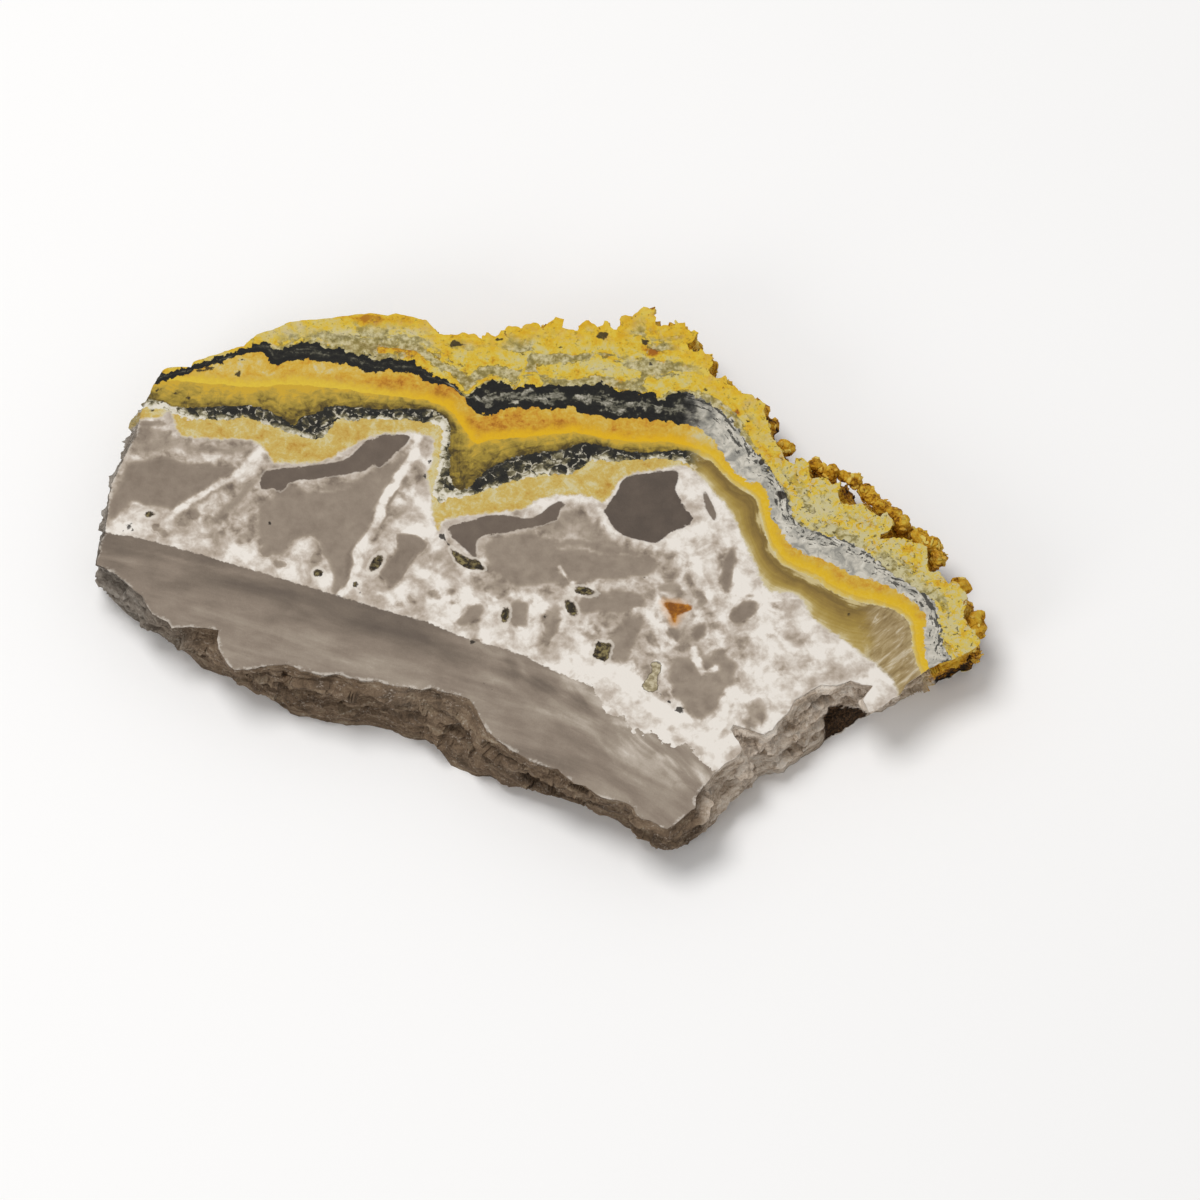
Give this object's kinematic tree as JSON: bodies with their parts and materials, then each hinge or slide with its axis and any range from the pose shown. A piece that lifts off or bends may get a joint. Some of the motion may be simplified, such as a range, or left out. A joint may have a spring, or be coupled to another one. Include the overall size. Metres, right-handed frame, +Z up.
{
  "type": "bumble bee jasper slab",
  "caption": "flat slab of banded natural stone, sawn on both faces and broken round its edge, with a knobbly yellow crust along one side",
  "frame": {"origin": "under the middle of the slab's outline, on the sawn underside that it rests on", "axes": "+X along the slab's length, +Y towards the banded far edge, +Z up out of the patterned face"},
  "size_m": [0.1114, 0.0752, 0.0095],
  "materials": {
    "banded_stone": "sawn and lightly polished grey and white crystalline stone, with yellow and black scalloped bands and a matte yellow crust"
  },
  "bodies": {
    "root": {"jasper_slab": "banded_stone"}
  },
  "joints": []
}
